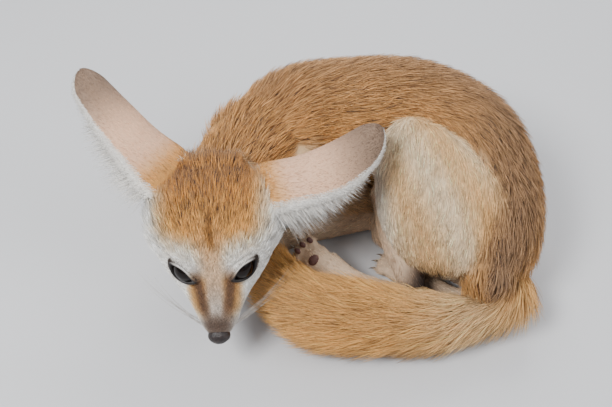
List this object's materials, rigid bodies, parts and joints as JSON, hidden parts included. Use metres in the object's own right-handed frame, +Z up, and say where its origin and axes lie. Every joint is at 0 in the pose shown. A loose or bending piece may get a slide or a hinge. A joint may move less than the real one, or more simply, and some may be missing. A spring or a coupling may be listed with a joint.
{
  "type": "fennec fox",
  "caption": "Still, life-size fennec fox curled on its belly, head low, big cupped ears spread, bushy tail drawn round in front.",
  "frame": {"origin": "middle of the base, on the floor under the middle of the curled fox", "axes": "+Z up; +X from the head end toward the rump; +Y toward the arched back, so the left side, head and tail face -Y"},
  "size_m": [0.2966, 0.2136, 0.1426],
  "materials": {
    "coat_back": "soft matt fur, orange tan with darker ticking",
    "coat_pale": "soft matt fur, cream to white",
    "coat_ear": "very short matt fur, pinkish tan with white rims",
    "coat_tail": "long soft matt fur, golden tan, dark at the tip",
    "eye": "wet, very dark brown",
    "nose_pad": "moist, finely pebbled, dark brown"
  },
  "bodies": {
    "root": {"head": "coat_pale", "nose": "nose_pad", "left_eye": "eye", "right_eye": "eye", "left_ear": "coat_ear", "left_ear_fringe": "coat_pale", "right_ear": "coat_ear", "right_ear_fringe": "coat_pale", "neck": "coat_back", "chest": "coat_back", "loin": "coat_back", "rump": "coat_back", "left_thigh": "coat_pale", "right_thigh": "coat_pale", "left_shank": "coat_pale", "right_shank": "coat_pale", "left_hind_foot": "coat_pale", "right_hind_foot": "coat_pale", "left_upper_arm": "coat_back", "right_upper_arm": "coat_back", "left_forearm": "coat_pale", "right_forearm": "coat_pale", "left_forepaw": "coat_pale", "right_forepaw": "coat_pale", "tail_base": "coat_tail", "tail_middle": "coat_tail", "tail_tip": "coat_tail"}
  },
  "joints": []
}
